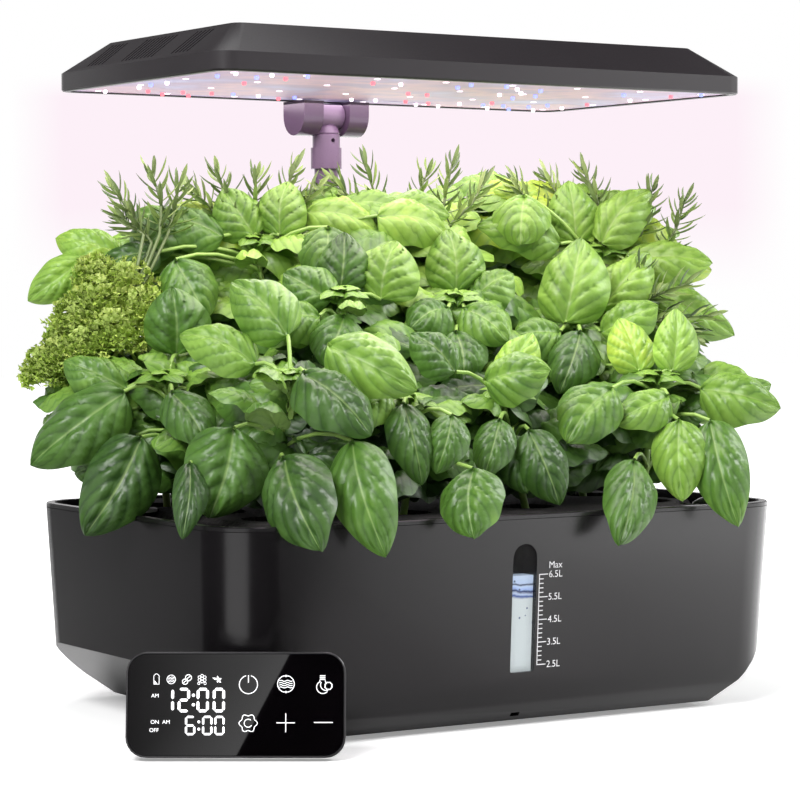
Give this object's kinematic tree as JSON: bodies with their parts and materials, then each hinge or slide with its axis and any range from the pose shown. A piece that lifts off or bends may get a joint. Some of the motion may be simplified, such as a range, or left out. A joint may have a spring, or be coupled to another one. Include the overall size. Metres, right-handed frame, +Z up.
{
  "type": "countertop hydroponic garden",
  "caption": "Indoor herb garden: chamfered water tank with planting deck, level window, hinged fill lid, telescopic mast, tilting LED hood and free-standing touch panel.",
  "frame": {"origin": "centre of the tank's flat underside; the rubber feet reach 3 mm below it", "axes": "+X along the front to the right, -Y to the front, +Z up"},
  "size_m": [0.4617, 0.2919, 0.3948],
  "materials": {
    "tank": "moulded, light satin",
    "deck": "moulded, glossy",
    "window_pane": "clear, polished",
    "water": "still liquid surface",
    "growing_medium": "loose, damp",
    "steel": "bright drawn pin",
    "port_cap": "satin white",
    "mast_tube": "anodised dark grey",
    "hinge_plastic": "moulded, satin",
    "hood": "moulded, fine grain",
    "led_board": "white solder resist",
    "driver": "moulded case",
    "pump": "moulded, matt black",
    "impeller": "moulded white",
    "riser": "clear soft tube",
    "panel_glass": "polished black cover",
    "circuit": "green solder resist",
    "rubber": "matt pad",
    "basket": "moulded",
    "basil": "living leaf, light sheen",
    "parsley": "living leaf, curled",
    "rosemary": "living leaf, needle-like"
  },
  "bodies": {
    "garden": {"tank": "tank", "deck": "deck", "window_pane": "window_pane", "gauge_water": "water", "growing_medium": "growing_medium", "lid_pin": "steel", "port_cap": "port_cap", "mast_socket": "deck", "mast_lower_tube": "mast_tube", "mast_lower_gland": "hinge_plastic", "pump_housing": "pump", "pump_strainer": "pump", "riser_tube": "riser", "power_inlet": "pump", "panel_frame": "deck", "panel_glass": "panel_glass", "panel_circuit": "circuit", "foot_1": "rubber", "foot_2": "rubber", "foot_3": "rubber", "foot_4": "rubber", "basket_1_1": "basket", "basket_1_2": "basket", "basket_1_3": "basket", "basket_1_4": "basket", "basket_2_1": "basket", "basket_2_2": "basket", "basket_2_3": "basket", "basket_2_4": "basket", "basket_3_1": "basket", "basket_3_2": "basket", "basket_3_3": "basket", "basket_3_4": "basket", "plant_1_1_basil": "basil", "plant_1_2_basil": "basil", "plant_1_3_basil": "basil", "plant_1_4_basil": "basil", "plant_2_1_basil": "basil", "plant_2_2_basil": "basil", "plant_2_3_basil": "basil", "plant_2_4_basil": "basil", "plant_3_1_parsley": "parsley", "plant_3_2_basil": "basil", "plant_3_3_rosemary": "rosemary", "plant_3_4_basil": "basil"},
    "fill_lid": {"fill_lid": "deck"},
    "mast_middle": {"mast_middle_tube": "mast_tube", "mast_middle_gland": "hinge_plastic"},
    "mast_upper": {"mast_upper_tube": "mast_tube", "mast_head": "hinge_plastic"},
    "lamp": {"hood_shell": "hood", "led_board": "led_board", "led_driver": "driver", "hinge_cheek_left": "hinge_plastic", "hinge_cheek_right": "hinge_plastic", "hinge_pin": "steel"},
    "impeller": {"pump_impeller": "impeller"},
    "stand": {"panel_stand": "deck"}
  },
  "joints": [
    {"name": "fill_lid_hinge", "type": "hinge", "parent": "garden", "child": "fill_lid", "pos_m": [0.1379, -0.0985, 0.115], "axis": [0, -1, 0], "range_deg": [0, 100]},
    {"name": "mast_middle_slide", "type": "slide", "parent": "garden", "child": "mast_middle", "axis": [0, 0, 1], "range_m": [-0.01, 0.06]},
    {"name": "mast_upper_slide", "type": "slide", "parent": "mast_middle", "child": "mast_upper", "axis": [0, 0, 1], "range_m": [0, 0.06]},
    {"name": "lamp_tilt", "type": "hinge", "parent": "mast_upper", "child": "lamp", "pos_m": [0, 0.0962, 0.3547], "axis": [-1, 0, 0], "range_deg": [0, 75]},
    {"name": "impeller_spin", "type": "hinge", "parent": "garden", "child": "impeller", "pos_m": [0.086, 0.0165, 0.0208], "axis": [0, 1, 0], "continuous": true},
    {"name": "panel_stand_fold", "type": "hinge", "parent": "garden", "child": "stand", "pos_m": [-0.18398, -0.11969, 0.03626], "axis": [-0.8453, 0.5344, 0], "range_deg": [0, 33]}
  ]
}
